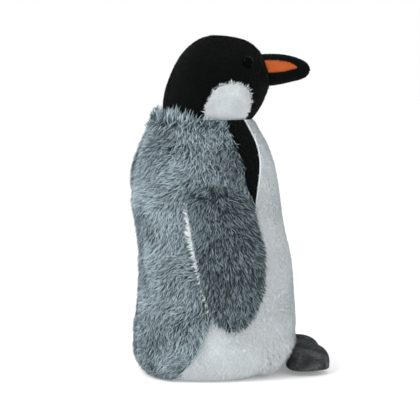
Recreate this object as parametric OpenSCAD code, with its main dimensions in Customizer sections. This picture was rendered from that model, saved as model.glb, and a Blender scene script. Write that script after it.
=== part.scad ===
// Standing plush penguin: sewn fabric panels over stuffing, with a pellet pouch in the base.
// The body axis is Z through the origin, the floor is z = 0 and the penguin faces -Y.

/* [Body] */
// Height of the neck seam above the floor
body_height = 229; // [170:1:300]
// Furthest reach of the belly fabric in front of the body axis
belly_reach = 72.5; // [50:0.5:90]
// Furthest reach of the back fabric behind the body axis
back_reach = 69.5; // [50:0.5:90]
// Widest side-to-side size of the body fabric
body_width = 123; // [92:1:165]

/* [Head] */
// Height of the head above the neck seam
head_height = 72; // [54:1:95]
// Furthest reach of the head in front of the body axis
head_front = 46.5; // [36:0.5:62]
// Furthest reach of the head behind the body axis
head_back = 44; // [34:0.5:60]
// Side-to-side width of the head fabric
head_width = 81; // [62:1:110]

/* [Beak] */
// How far the beak stands out from the face
beak_length = 39.5; // [24:1:50]
// Height of the beak at its root
beak_height = 28.5; // [20:0.5:36]
// Width of the beak at its root
beak_width = 30; // [20:0.5:38]
// Height of the beak centre above the neck seam
beak_rise = 43.5; // [38:0.5:50]
// Share of the beak's length that the side patch covers
patch_share = 0.7; // [0.4:0.02:0.8]

/* [Eyes] */
// Diameter of the eye dome
eye_d = 11; // [8:0.5:15]
// Height of the eye dome above the pile
eye_bulge = 3.6; // [2:0.1:5]
// How deep the eye's rim presses into the pile
eye_sink = 0.8; // [0.4:0.1:1.2]
// Diameter of the eye's shank
shank_d = 3.6; // [2.5:0.1:5]
// Length of the shank behind the eye
shank_length = 13; // [9:0.5:18]
// Outer diameter of the lock washer
washer_d = 15; // [11:0.5:20]
// Thickness of the lock washer
washer_t = 1.6; // [1:0.1:2.5]
// Height of the eyes above the neck seam
eye_rise = 50.5; // [42:0.5:56]
// How far the eyes sit in front of the body axis
eye_forward = 26; // [18:0.5:32]

/* [Fabric] */
// Thickness of the long grey pile on the back and flippers
long_pile = 6; // [3:0.5:9]
// Thickness of the short white and black pile
short_pile = 2.6; // [1.5:0.1:4]
// Thickness of the smooth beak cloth
beak_cloth = 1.4; // [0.8:0.1:2]
// Thickness of the flipper lining
lining_t = 2.2; // [1.2:0.1:3]
// Thickness of the base cloth and the foot soles
sole_t = 2; // [1.2:0.1:3]

/* [Flippers] */
// Length of a flipper from its root seam to its tip
flipper_length = 122; // [95:1:160]
// Width of a flipper
flipper_width = 56; // [42:1:72]
// Thickness of the wadding in a flipper
wadding_t = 6; // [3:0.5:10]
// Height of the root seam above the floor
flipper_root = 174; // [150:1:190]
// How far the root's middle sits behind the body axis
flipper_back = 10; // [-10:1:16]
// How far the tip leans to the front of the root
flipper_lean = 17; // [0:1:30]
// How far the middle of a flipper bows to the front
flipper_sweep = 6.5; // [0:0.5:12]

/* [Feet] */
// Length of a foot from heel to toe
foot_length = 41; // [34:1:60]
// Width of a foot
foot_width = 39; // [32:1:54]
// Height of a foot
foot_height = 22.5; // [20:0.5:36]
// Sideways distance of a foot's middle from the body axis
foot_spread = 20.5; // [20:0.5:34]
// Height of the soles above the floor
foot_lift = 5; // [0:0.5:10]

/* [Pellet pouch] */
// Height of the pouch of pellets in the base
pouch_h = 22; // [12:1:32]
// Thickness of the pouch cloth
pouch_cloth = 1; // [0.6:0.1:1.6]
// Stuffing left between the pouch and the cover
pouch_wall = 5; // [3:0.5:10]

/* [Clearances] */
// Gap between the stuffing and the inside of the cover
fill_gap = 0.9; // [0.6:0.1:1.5]
// Gap between pieces that move past each other
joint_gap = 0.8; // [0.5:0.1:1.5]
// Gap between loose inner pieces and their pockets
pocket_gap = 0.3; // [0.2:0.05:0.6]

/* [Hidden] */

grey = [0.42, 0.48, 0.52];
white = [0.9, 0.92, 0.93];
black = [0.06, 0.07, 0.07];
orange = [0.8, 0.36, 0.14];
charcoal = [0.24, 0.25, 0.25];
stuffing = [0.94, 0.94, 0.9];

// Exponent of the rounded cross-sections, where 2 is an ellipse
squareness = 2.3;

// Body outline from the floor up: share of the height, of the belly reach, of the back reach and
// of the half width, then the angles from the front of the grey seam and of the white seam.
body_profile = [
    [0.000, 0.40, 0.74, 0.72, 139, 139],
    [0.035, 0.75, 0.90, 0.86, 121, 121],
    [0.095, 0.92, 0.98, 0.95, 109, 109],
    [0.185, 1.00, 0.97, 0.99, 102, 102],
    [0.310, 0.97, 0.91, 1.00, 94, 94],
    [0.445, 0.94, 0.90, 0.98, 82, 82],
    [0.570, 0.84, 0.93, 0.95, 71, 71],
    [0.655, 0.80, 0.98, 0.92, 65, 65],
    [0.750, 0.76, 1.00, 0.88, 70, 59],
    [0.830, 0.71, 0.97, 0.83, 73, 52],
    [0.905, 0.62, 0.87, 0.77, 78, 48],
    [0.960, 0.52, 0.79, 0.71, 82, 49],
    [1.000, 0.45, 0.72, 0.66, 85, 52]
];
BIB_TIP = 7;
GREY = 4;
WHITE = 5;

// Head outline from the neck seam up: share of the height, front reach, back reach, half width.
head_profile = [
    [0.00, 0.69, 1.00, 0.91],
    [0.16, 0.88, 1.00, 0.98],
    [0.34, 0.99, 0.95, 1.00],
    [0.51, 1.00, 0.85, 0.98],
    [0.68, 0.92, 0.72, 0.88],
    [0.81, 0.83, 0.57, 0.71],
    [0.92, 0.67, 0.37, 0.48],
    [0.98, 0.38, 0.17, 0.22],
    [1.00, 0.00, 0.00, 0.00]
];

// Beak outline from root to tip: share of the length, of the height above and below its centre
// line, and of the half width.
beak_profile = [
    [0.00, 0.48, 0.55, 1.00],
    [0.25, 0.49, 0.50, 0.90],
    [0.50, 0.46, 0.43, 0.77],
    [0.75, 0.36, 0.35, 0.58],
    [0.92, 0.21, 0.23, 0.37],
    [1.00, 0.00, 0.00, 0.00]
];

body_top = len(body_profile) - 1;
head_top = len(head_profile) - 1;
beak_tip = len(beak_profile) - 1;
head_base = body_height + joint_gap;

// ---- Curves and meshes ----

// Point at t on a smooth curve through the rows of a table.
function along(table, t) =
    let (
        i = min(floor(t), len(table) - 2),
        f = t - i,
        a = table[max(i - 1, 0)],
        b = table[i],
        c = table[i + 1],
        d = table[min(i + 2, len(table) - 1)]
    )
    0.5 * (2 * b + (c - a) * f + (2 * a - 5 * b + 4 * c - d) * f * f
        + (3 * b - a - 3 * c + d) * f * f * f);

// Place t at which the first column of a rising table reaches a value.
function place_of(table, value, low = 0, high = undef, steps = 14) =
    let (top = is_undef(high) ? len(table) - 1 : high, mid = (low + top) / 2)
    steps == 0 ? mid
    : along(table, mid)[0] < value ? place_of(table, value, mid, top, steps - 1)
    : place_of(table, value, low, mid, steps - 1);

// Signed power, for superellipses.
function power(v, e) = sign(v) * pow(abs(v), e);

// Point at an angle from the front on a rounded section of given front, back and half width.
function section(angle, front, back, half) = [
    half * power(sin(angle), 2 / squareness),
    -(cos(angle) >= 0 ? front : back) * power(cos(angle), 2 / squareness)
];

function flat(rows) = [for (row = rows) each row];

function triangles(points, quads) = [
    for (q = quads, t = [[q[0], q[1], q[2]], [q[0], q[2], q[3]]])
        if (norm(points[t[0]] - points[t[1]]) > 0.001
            && norm(points[t[1]] - points[t[2]]) > 0.001
            && norm(points[t[2]] - points[t[0]]) > 0.001) t
];

// Cloth panel between an outer and an inner grid of points. Rows run upwards and columns to the
// right as seen from outside. A row or column whose points coincide makes a pointed end. The end
// walls are split the same way on all sides, so that panels sewn together meet exactly.
module panel(outer, inner) {
    m = len(outer);
    n = len(outer[0]);
    k = m * n;
    points = concat(flat(outer), flat(inner));
    quads = concat(
        [for (i = [0:m - 2], j = [0:n - 2])
            [i * n + j, (i + 1) * n + j, (i + 1) * n + j + 1, i * n + j + 1]],
        [for (i = [0:m - 2], j = [0:n - 2])
            [k + i * n + j, k + i * n + j + 1, k + (i + 1) * n + j + 1, k + (i + 1) * n + j]],
        [for (j = [0:n - 2]) [j, j + 1, k + j + 1, k + j]],
        [for (j = [0:n - 2]) let (r = (m - 1) * n + j) [r, k + r, k + r + 1, r + 1]],
        [for (i = [0:m - 2]) let (r = i * n) [r + n, r, k + r, k + r + n]],
        [for (i = [0:m - 2]) let (r = i * n + n - 1) [r + n, k + r + n, k + r, r]]
    );
    polyhedron(points, triangles(points, quads), convexity = 6);
}

// Solid through closed rings of points that run anticlockwise as seen from above, lowest first.
module stack(rings) {
    m = len(rings);
    n = len(rings[0]);
    points = concat(flat(rings), [centre(rings[0]), centre(rings[m - 1])]);
    quads = [for (i = [0:m - 2], j = [0:n - 1])
        let (l = (j + 1) % n) [i * n + j, (i + 1) * n + j, (i + 1) * n + l, i * n + l]];
    ends = [for (j = [0:n - 1]) let (l = (j + 1) % n, r = (m - 1) * n)
        each [[m * n, j, l], [m * n + 1, r + l, r + j]]];
    polyhedron(points, concat(triangles(points, quads), ends), convexity = 6);
}

// Cloth cap between outer and inner rings of points that run anticlockwise as seen from outside,
// from the rim in to a hub.
module cap(outer, inner, hubs) {
    m = len(outer);
    n = len(outer[0]);
    k = m * n;
    r = (m - 1) * n;
    points = concat(flat(outer), flat(inner), hubs);
    quads = concat(
        [for (i = [0:m - 2], j = [0:n - 1]) let (l = (j + 1) % n)
            [i * n + j, (i + 1) * n + j, (i + 1) * n + l, i * n + l]],
        [for (i = [0:m - 2], j = [0:n - 1]) let (l = (j + 1) % n)
            [k + i * n + j, k + i * n + l, k + (i + 1) * n + l, k + (i + 1) * n + j]],
        [for (j = [0:n - 1]) let (l = (j + 1) % n) [j, l, k + l, k + j]]
    );
    ends = [for (j = [0:n - 1]) let (l = (j + 1) % n)
        each [[2 * k, r + l, r + j], [2 * k + 1, k + r + j, k + r + l]]];
    polyhedron(points, concat(triangles(points, quads), ends), convexity = 4);
}

function centre(ring) = [for (i = [0:2]) sum([for (p = ring) p[i]]) / len(ring)];
function sum(list) = list * [for (v = list) 1];
function steps(low, high, count) = [for (i = [0:count]) low + (high - low) * i / count];

module both_sides(left) {
    if (left) children();
    else mirror([1, 0, 0]) children();
}

// ---- Body ----

// Front, back and half width of the body cloth at t, grown by an offset.
function body_size(t, grow) = let (s = along(body_profile, t)) [
    s[1] * belly_reach + grow, s[2] * back_reach + grow, s[3] * body_width / 2 + grow
];
// Point of the body. Its place moves in a straight line as it grows, so that piles of different
// thickness meet along a seam.
function body_point(t, angle, grow) = let (
    d = body_size(t, 0),
    e = body_size(t, long_pile),
    p = section(angle, d[0], d[1], d[2]),
    q = p + (section(angle, e[0], e[1], e[2]) - p) * grow / long_pile
) [q[0], q[1], along(body_profile, t)[0] * body_height];
function seam(t, which) = along(body_profile, t)[which];

// Half width of the body at a height and a place along Y.
function body_side(y, z, grow) = let (
    t = place_of(body_profile, z / body_height),
    d = body_size(t, grow),
    r = min(1, abs(y) / (y < 0 ? d[0] : d[1]))
) d[2] * pow(1 - pow(r, squareness), 1 / squareness);

// Whether a point in plan lies inside the body's section at t.
function in_body(x, y, t, grow) = let (d = body_size(t, grow))
    pow(abs(x) / d[2], squareness) + pow(abs(y) / (y < 0 ? d[0] : d[1]), squareness) < 1;

// Height of the body's underside over a point in plan.
function underside(x, y, grow, low = 0, high = 3, steps = 12) = let (mid = (low + high) / 2)
    !in_body(x, y, high, grow) ? body_height
    : steps == 0 ? along(body_profile, mid)[0] * body_height
    : in_body(x, y, mid, grow) ? underside(x, y, grow, low, mid, steps - 1)
    : underside(x, y, grow, mid, high, steps - 1);

body_rows = steps(0, body_top, 24);
function body_grid(rows, columns, low, high, grow) = [for (t = rows)
    [for (s = steps(0, 1, columns)) body_point(t, low(t) + (high(t) - low(t)) * s, grow)]];

module back_panel() color(grey) {
    low = function(t) seam(t, GREY);
    high = function(t) 180;
    panel(body_grid(body_rows, 11, low, high, long_pile), body_grid(body_rows, 11, low, high, 0));
}

module belly_panel() color(white) {
    high = function(t) t < BIB_TIP ? seam(t, GREY) : seam(t, WHITE);
    low = function(t) -high(t);
    panel(body_grid(body_rows, 22, low, high, short_pile),
        body_grid(body_rows, 22, low, high, 0));
}

module bib() color(black) {
    rows = [for (t = body_rows) if (t >= BIB_TIP) t];
    low = function(t) seam(t, WHITE);
    high = function(t) seam(t, GREY);
    panel(body_grid(rows, 4, low, high, short_pile), body_grid(rows, 4, low, high, 0));
}

module base_panel() color(white)
    linear_extrude(height = sole_t)
        polygon([for (a = [0:10:350])
            let (d = body_size(0, -pocket_gap)) section(a, d[0], d[1], d[2])]);

// Pouch of pellets: a flat round bag in a pocket of the stuffing.
pouch_y = (body_size(0, 0)[1] - body_size(0, 0)[0]) / 2;
pouch_r = (body_size(0, 0)[1] + body_size(0, 0)[0]) / 2 - pouch_wall - fill_gap;
pouch_z = sole_t + pocket_gap;

module pouch_solid(inset)
    translate([0, pouch_y, pouch_z + inset])
        rotate_extrude($fn = 48)
            let (r = pouch_r - inset, h = pouch_h - 2 * inset, c = h / 2)
            union() {
                square([r - c, h]);
                intersection() {
                    translate([r - c, c]) circle(r = c, $fn = 48);
                    translate([r - c, 0]) square([c, h]);
                }
            }

module pellet_pouch() color([0.8, 0.8, 0.76]) difference() {
    pouch_solid(0);
    pouch_solid(pouch_cloth);
}

module pellet_charge() color([0.75, 0.78, 0.8]) pouch_solid(pouch_cloth + pocket_gap / 3);

module body_fill() color(stuffing) {
    angles = [for (a = [0:10:350]) a];
    pocket = function(z) [for (a = angles) let (r = pouch_r + pocket_gap * 2)
        [r * sin(a), pouch_y - r * cos(a), z]];
    floor_z = sole_t + pocket_gap;
    first = [for (a = angles) let (p = body_point(0, a, -fill_gap)) [p[0], p[1], floor_z]];
    stack(concat(
        [pocket(pouch_z + pouch_h + pocket_gap), pocket(floor_z), first],
        [for (t = body_rows) if (t > 0.4) [for (a = angles) body_point(t, a, -fill_gap)]]
    ));
}

// ---- Head ----

// The cloth's offset turns from sideways at the neck to upwards at the crown.
function head_point(t, angle, grow) = let (
    s = along(head_profile, t),
    side = grow * (1 - pow(t / head_top, 8)),
    p = section(angle, max(0, s[1] * head_front + side), max(0, s[2] * head_back + side),
        max(0, s[3] * head_width / 2 + side))
) [p[0], p[1], head_base + s[0] * head_height + grow * pow(t / head_top, 3)];

// Front of the head at a place across it and a height above the neck seam.
function head_face(x, rise, grow) = let (
    s = along(head_profile, place_of(head_profile, rise / head_height)),
    r = min(0.98, abs(x) / (s[3] * head_width / 2 + grow))
) -(s[1] * head_front + grow) * pow(1 - pow(r, squareness), 1 / squareness);

// Half width of the head at a place in front of the axis and a height above the neck seam.
function head_cheek(y, rise, grow) = let (
    s = along(head_profile, place_of(head_profile, rise / head_height))
) (s[3] * head_width / 2 + grow)
    * pow(1 - pow(abs(y) / (s[1] * head_front + grow), squareness), 1 / squareness);

// Cheek patch: a flat lower edge on the neck seam and a domed top.
cheek_middle = 77;
cheek_span = 27.5;
cheek_top = 2.58;
cheek_steps = [-1, -0.96, -0.83, -0.6, -0.3, 0, 0.3, 0.6, 0.83, 0.96, 1];
function cheek_edge(angle) = let (q = abs(angle - cheek_middle) / cheek_span)
    q >= 1 ? 0 : cheek_top * pow(1 - pow(q, 3), 0.5);

cheek_angles = [for (q = cheek_steps) cheek_middle + cheek_span * q];
side_angles = concat(
    steps(0, cheek_angles[0], 4),
    [for (i = [1:len(cheek_angles) - 1]) cheek_angles[i]],
    [for (i = [1:5]) cheek_angles[10] + (180 - cheek_angles[10]) * i / 5]
);

module head_side_cloth() {
    grid = function(grow) [for (s = steps(0, 1, 13)) [for (a = side_angles)
        let (low = cheek_edge(a)) head_point(low + (head_top - low) * s, a, grow)]];
    panel(grid(short_pile), grid(0));
}

module head_side() color(black) difference() {
    head_side_cloth();
    eye_place() {
        translate([0, 0, -eye_sink]) cylinder(d = eye_d + pocket_gap, h = shank_length, $fn = 64);
        shank_hole(shank_fit);
    }
}

module cheek() color(white) {
    grid = function(grow) [for (s = steps(0, 1, 5)) [for (a = cheek_angles)
        head_point(cheek_edge(a) * s, a, grow)]];
    panel(grid(short_pile), grid(0));
}

module head_fill_solid() {
    angles = [for (a = [0:10:350]) a];
    rows = [for (t = steps(0, head_top - 0.35, 12)) t];
    stack([for (t = rows) [for (a = angles) head_point(t, a, -fill_gap)]]);
}

module head_fill() color(stuffing) difference() {
    head_fill_solid();
    for (left = [true, false]) both_sides(left) {
        eye_place() {
            shank_hole(pocket_gap);
            translate([0, 0, washer_z - pocket_gap])
                cylinder(d = washer_d + 2 * pocket_gap, h = shank_length, $fn = 48);
        }
    }
}

// ---- Eyes ----

eye_side = head_cheek(eye_forward, eye_rise, short_pile);
// Outward direction of the face at the eye, from its slope ahead and above.
eye_yaw = atan2(head_cheek(eye_forward - 2, eye_rise, short_pile)
    - head_cheek(eye_forward + 2, eye_rise, short_pile), 4);
eye_pitch = atan2(head_cheek(eye_forward, eye_rise - 2, short_pile)
    - head_cheek(eye_forward, eye_rise + 2, short_pile), 4);
// The washer's flat rim needs this much room behind the curved cloth.
washer_room = pow(washer_d, 2) / 2 / head_width + pocket_gap;
washer_z = -short_pile - washer_room - washer_t;
// Radial clearance of the shank in the cloth and in the washer
shank_fit = 0.05;

module shank_hole(gap)
    translate([0, 0, -shank_length - gap])
        cylinder(d = shank_d + 2 * gap, h = 2 * shank_length, $fn = 32);

// Puts children at an eye, with Z pointing out of the head.
module eye_place()
    translate([eye_side, -eye_forward, head_base + eye_rise])
        rotate([0, 0, -eye_yaw]) rotate([0, 90 - eye_pitch, 0]) children();

module eye() color(black) eye_place() {
    dome_r = (pow(eye_d / 2, 2) + pow(eye_bulge, 2)) / (2 * eye_bulge);
    rotate_extrude($fn = 64) {
        intersection() {
            translate([0, eye_bulge - dome_r]) circle(r = dome_r, $fn = 128);
            translate([0, -eye_sink]) square([eye_d / 2, eye_sink + eye_bulge]);
        }
        translate([0, -shank_length]) square([shank_d / 2, shank_length]);
    }
}

module eye_washer() color(white) eye_place()
    translate([0, 0, washer_z]) difference() {
        cylinder(d = washer_d, h = washer_t, $fn = 48);
        shank_hole(shank_fit);
    }

// ---- Beak ----

// Point on the beak, at an angle above its left side, with its root lying on the face.
function beak_point(t, angle, grow) = let (
    s = along(beak_profile, t),
    size = 1 - pow(t / beak_tip, 6),
    up = max(0, s[1] * beak_height + grow * size),
    down = max(0, s[2] * beak_height + grow * size),
    half = max(0, s[3] * beak_width / 2 + grow * size),
    e = 0.9,
    root = along(beak_profile, 0),
    root_x = (root[3] * beak_width / 2 + grow) * power(cos(angle), e),
    root_z = (sin(angle) >= 0 ? root[1] : root[2]) * beak_height * power(sin(angle), e),
    root_y = head_face(root_x, beak_rise + root_z, short_pile) - joint_gap,
    tip_y = -(head_front + short_pile + beak_length + grow)
) [half * power(cos(angle), e),
    root_y + (tip_y - root_y) * s[0],
    head_base + beak_rise + (sin(angle) >= 0 ? up : down) * power(sin(angle), e)];

patch_tip = place_of(beak_profile, patch_share);
patch_rows = steps(0, patch_tip, 6);
far_rows = steps(patch_tip, beak_tip, 6);
beak_rows = concat(patch_rows, [for (i = [1:6]) far_rows[i]]);
function patch_taper(t) = max(0, 1 - pow(t / patch_tip, 2.2));
function patch_top(t) = 6 + 29 * sqrt(patch_taper(t));
function patch_bottom(t) = 6 - 16 * patch_taper(t);

// Part of the beak's cloth between two edges, which are angles that depend on t.
module beak_cloth_part(rows, columns, low, high) {
    grid = function(grow) [for (s = steps(0, 1, columns)) [for (t = rows)
        beak_point(t, low(t) + (high(t) - low(t)) * s, grow)]];
    panel(grid(0), grid(-beak_cloth));
}

module beak_upper() color(black)
    beak_cloth_part(beak_rows, 12, function(t) patch_top(t), function(t) 180 - patch_top(t));
module beak_lower() color(black)
    beak_cloth_part(beak_rows, 12, function(t) 180 - patch_bottom(t),
        function(t) 360 + patch_bottom(t));
module beak_patch() color(orange)
    beak_cloth_part(patch_rows, 3, function(t) patch_bottom(t), function(t) patch_top(t));
// The stuffing starts on the face, in rings that widen out to the beak's root.
module beak_fill() color(stuffing) {
    angles = [for (a = [0:15:345]) a];
    rows = steps(0, beak_tip - 0.3, 10);
    grow = -beak_cloth - pocket_gap;
    root = [for (a = angles) beak_point(0, a, grow)];
    middle = centre(root);
    seat = function(scale) [for (p = root) let (q = middle + (p - middle) * scale)
        [q[0], head_face(q[0], q[2] - head_base, short_pile) - joint_gap, q[2]]];
    stack(concat(
        [for (scale = [0.05, 0.3, 0.55, 0.8]) seat(scale)],
        [for (t = rows) [for (a = angles) beak_point(t, a, grow)]]
    ));
}

// ---- Flippers ----

flipper_angles = [for (a = [0:15:345]) a];
flipper_scales = [1, 0.92, 0.77, 0.55, 0.3];
// Share of a flipper's length that lies below its widest place
flipper_waist = 0.56;
// How far a flipper's edges wrap round the flank, where 1 follows it closely
flipper_wrap = 0.55;
flipper_axis_x = body_side(0, flipper_root, long_pile) + joint_gap;

// Outline of a flipper in side view as [y, z], scaled about its widest place.
function flipper_plan(angle, scale) = let (
    upper = cos(angle) > 0,
    e = upper ? 0.5 : 0.95,
    reach = flipper_length * (upper ? 1 - flipper_waist : flipper_waist),
    waist_z = flipper_root - 1 - flipper_length * (1 - flipper_waist),
    z = waist_z + reach * power(cos(angle), e) * scale,
    down = (flipper_root - z) / flipper_length,
    middle = flipper_back - flipper_lean * down - flipper_sweep * sin(180 * down)
) [middle - flipper_width / 2 * power(sin(angle), e) * scale, z];

function flipper_lens(scale) = wadding_t * pow(1 - pow(scale, 2.6), 0.5);

// A point on the flipper, at a height above its lining's inner face.
function flipper_point(scale, angle, height) = let (
    p = flipper_plan(angle, scale),
    flank = body_side(0, p[1], long_pile),
    hug = body_side(p[0], p[1], long_pile)
) [joint_gap + flank + (hug - flank) * flipper_wrap + height, p[0], p[1]];

// Layer of a flipper between two heights, which are functions of the scale.
module flipper_layer(outer, inner) {
    rings = function(height) [for (s = flipper_scales) [for (a = flipper_angles)
        flipper_point(s, a, height(s))]];
    cap(rings(outer), rings(inner),
        [flipper_point(0, 0, outer(0)), flipper_point(0, 0, inner(0))]);
}

module flipper_lining() color(white)
    flipper_layer(function(s) lining_t, function(s) 0);
module flipper_wadding() color(stuffing)
    flipper_layer(function(s) lining_t + flipper_lens(s), function(s) lining_t);
module flipper_outer() color(grey)
    flipper_layer(function(s) lining_t + flipper_lens(s) + long_pile * (1 - 0.45 * pow(s, 6)),
        function(s) lining_t + flipper_lens(s));

// ---- Feet ----

// The heel starts where the belly's underside leaves room for the sole, cover and stuffing.
heel_room = foot_lift + sole_t + short_pile + 2;
heel_y = -body_size(place_of(body_profile, heel_room / body_height), short_pile)[0] - joint_gap;
foot_rear = foot_length * 0.34;
foot_y = heel_y - foot_rear;
foot_z = foot_lift + sole_t;

function foot_point(scale, angle, grow) = let (
    p = section(angle, (foot_length - foot_rear + grow) * scale, (foot_rear + grow) * scale,
        (foot_width / 2 + grow) * scale),
    x = foot_spread + p[0],
    y = foot_y + p[1],
    dome = (foot_height - sole_t + grow) * pow(1 - pow(scale, 3), 1 / 3),
    room = underside(x, y, short_pile + joint_gap) - joint_gap - foot_z + grow
) [x, y, foot_z + max(0, min(dome, room))];

foot_scales = [1, 0.985, 0.94, 0.85, 0.7, 0.5, 0.25];
foot_angles = [for (a = [0:15:345]) a];
function foot_rings(grow) = [for (s = foot_scales) [for (a = foot_angles) foot_point(s, a, grow)]];
module foot_upper() color(charcoal)
    cap(foot_rings(0), foot_rings(-short_pile),
        [foot_point(0, 0, 0), foot_point(0, 0, -short_pile)]);
module foot_fill() color(stuffing) stack(foot_rings(-short_pile - fill_gap));
module foot_sole() color(charcoal)
    translate([foot_spread, foot_y, foot_lift])
        linear_extrude(height = sole_t)
            polygon([for (a = [0:10:350])
                section(a, foot_length - foot_rear, foot_rear, foot_width / 2)]);

// ---- The pieces ----

both_sides(true) back_panel();  // back_panel_left
both_sides(false) back_panel();  // back_panel_right
belly_panel();
both_sides(true) bib();  // bib_left
both_sides(false) bib();  // bib_right
base_panel();
body_fill();
pellet_pouch();
pellet_charge();
both_sides(true) head_side();  // head_side_left
both_sides(false) head_side();  // head_side_right
both_sides(true) cheek();  // cheek_left
both_sides(false) cheek();  // cheek_right
head_fill();
beak_upper();
beak_lower();
both_sides(true) beak_patch();  // beak_patch_left
both_sides(false) beak_patch();  // beak_patch_right
beak_fill();
both_sides(true) eye();  // eye_left
both_sides(false) eye();  // eye_right
both_sides(true) eye_washer();  // eye_washer_left
both_sides(false) eye_washer();  // eye_washer_right
both_sides(true) flipper_outer();  // flipper_outer_left
both_sides(false) flipper_outer();  // flipper_outer_right
both_sides(true) flipper_lining();  // flipper_lining_left
both_sides(false) flipper_lining();  // flipper_lining_right
both_sides(true) flipper_wadding();  // flipper_wadding_left
both_sides(false) flipper_wadding();  // flipper_wadding_right
both_sides(true) foot_upper();  // foot_upper_left
both_sides(false) foot_upper();  // foot_upper_right
both_sides(true) foot_sole();  // foot_sole_left
both_sides(false) foot_sole();  // foot_sole_right
both_sides(true) foot_fill();  // foot_fill_left
both_sides(false) foot_fill();  // foot_fill_right
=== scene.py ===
"""Plush penguin: cloth panels, pile, stuffing, beak, eyes and feet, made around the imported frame."""

import math

import bmesh
import bpy
import numpy as np
from bpy.props import FloatProperty, FloatVectorProperty, IntProperty, PointerProperty
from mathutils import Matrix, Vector, noise
from mathutils.kdtree import KDTree


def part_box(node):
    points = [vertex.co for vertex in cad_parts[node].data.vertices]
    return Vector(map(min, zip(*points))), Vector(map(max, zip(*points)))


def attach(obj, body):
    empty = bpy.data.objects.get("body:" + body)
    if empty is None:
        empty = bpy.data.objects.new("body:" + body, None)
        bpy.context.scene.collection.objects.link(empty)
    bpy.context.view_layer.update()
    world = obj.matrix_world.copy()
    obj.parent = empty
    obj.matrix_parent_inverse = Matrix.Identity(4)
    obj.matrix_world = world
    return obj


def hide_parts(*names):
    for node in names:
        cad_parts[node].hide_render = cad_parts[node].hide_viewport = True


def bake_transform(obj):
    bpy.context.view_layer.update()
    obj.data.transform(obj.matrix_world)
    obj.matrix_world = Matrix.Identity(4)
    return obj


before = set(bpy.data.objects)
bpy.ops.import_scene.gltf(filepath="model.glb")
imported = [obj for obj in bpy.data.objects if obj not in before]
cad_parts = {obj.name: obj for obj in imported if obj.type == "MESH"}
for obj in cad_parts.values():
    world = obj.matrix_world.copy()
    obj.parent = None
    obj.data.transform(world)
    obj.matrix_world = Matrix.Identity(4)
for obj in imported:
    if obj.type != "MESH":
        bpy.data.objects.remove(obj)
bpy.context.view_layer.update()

bl_info = {
    "name": "Plush Penguin",
    "version": (1, 0, 0),
    "blender": (4, 5, 0),
    "location": "3D View > Sidebar > Penguin",
    "description": "Sews, stuffs and naps a standing plush penguin around its frame",
    "category": "Object",
}

SIDES = {"left": 1, "right": -1}
SEAM_ALLOWANCE = 0.00035  # how far a panel's edge is let out to meet its neighbours
SHARPEST_BEND = math.radians(50)  # a cloth's side has no sharper edge than this
SMALL_HOLE = 0.008  # a hole in a cloth's side is filled when its rim is shorter than this
HEM_WIDTH = 0.005  # from a seam to where the cloth has its full thickness
SQUASHED = 0.25  # the least height of a cloth's outer side, as a share of its inner side's
SOLE_INSET = 0.0016  # from the foot's outline to the sole's
PRESSED = 0.002  # the height at which tufts begin to lie flatter on the floor
BAKE_MAP = "OFBake"  # across a tuft is its tone, up a tuft is root to tip


# ---- Settings ----


class PenguinPile(bpy.types.PropertyGroup):
    """Lengths, widths and thickness of the pile on each cloth."""

    back_length: FloatProperty(
        name="Back pile", description="Length of the long grey pile",
        default=0.0088, min=0.004, max=0.014, unit="LENGTH",
    )
    flipper_length: FloatProperty(
        name="Flipper pile", description="Length of the grey pile on the flippers",
        default=0.0078, min=0.004, max=0.014, unit="LENGTH",
    )
    white_length: FloatProperty(
        name="White pile", description="Length of the white pile on the belly and cheeks",
        default=0.0034, min=0.002, max=0.006, unit="LENGTH",
    )
    black_length: FloatProperty(
        name="Black pile", description="Length of the black pile on the head and chest",
        default=0.0028, min=0.0015, max=0.005, unit="LENGTH",
    )
    long_tufts: FloatProperty(
        name="Long tufts", description="Tufts to a square metre on the grey cloth",
        default=760000.0, min=100000.0, max=900000.0,
    )
    short_tufts: FloatProperty(
        name="Short tufts", description="Tufts to a square metre on the short pile",
        default=820000.0, min=100000.0, max=1200000.0,
    )
    seed: IntProperty(
        name="Seed", description="Fixes where each tuft stands", default=7, min=0, max=1000,
    )


class PenguinColours(bpy.types.PropertyGroup):
    """Colours of the cloths and plastics."""

    grey: FloatVectorProperty(
        name="Grey tips", description="Light tips of the back's pile",
        subtype="COLOR", size=3, min=0.0, max=1.0, default=(0.36, 0.445, 0.485),
    )
    # Partly the pile's own darker base, partly painted shade deep in the pile; the grey backings,
    # which show between the tufts, are made from it too.
    grey_root_with_shade: FloatVectorProperty(
        name="Grey roots", description="Dark roots of the back's pile",
        subtype="COLOR", size=3, min=0.0, max=1.0, default=(0.022, 0.040, 0.048),
    )
    white: FloatVectorProperty(
        name="White", description="White pile",
        subtype="COLOR", size=3, min=0.0, max=1.0, default=(0.66, 0.70, 0.72),
    )
    black: FloatVectorProperty(
        name="Black", description="Black pile",
        subtype="COLOR", size=3, min=0.0, max=1.0, default=(0.0010, 0.0024, 0.0024),
    )
    orange: FloatVectorProperty(
        name="Orange", description="Patch on the beak",
        subtype="COLOR", size=3, min=0.0, max=1.0, default=(0.55, 0.123, 0.03),
    )
    charcoal: FloatVectorProperty(
        name="Charcoal", description="Cloth of the feet",
        subtype="COLOR", size=3, min=0.0, max=1.0, default=(0.058, 0.064, 0.064),
    )


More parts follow.
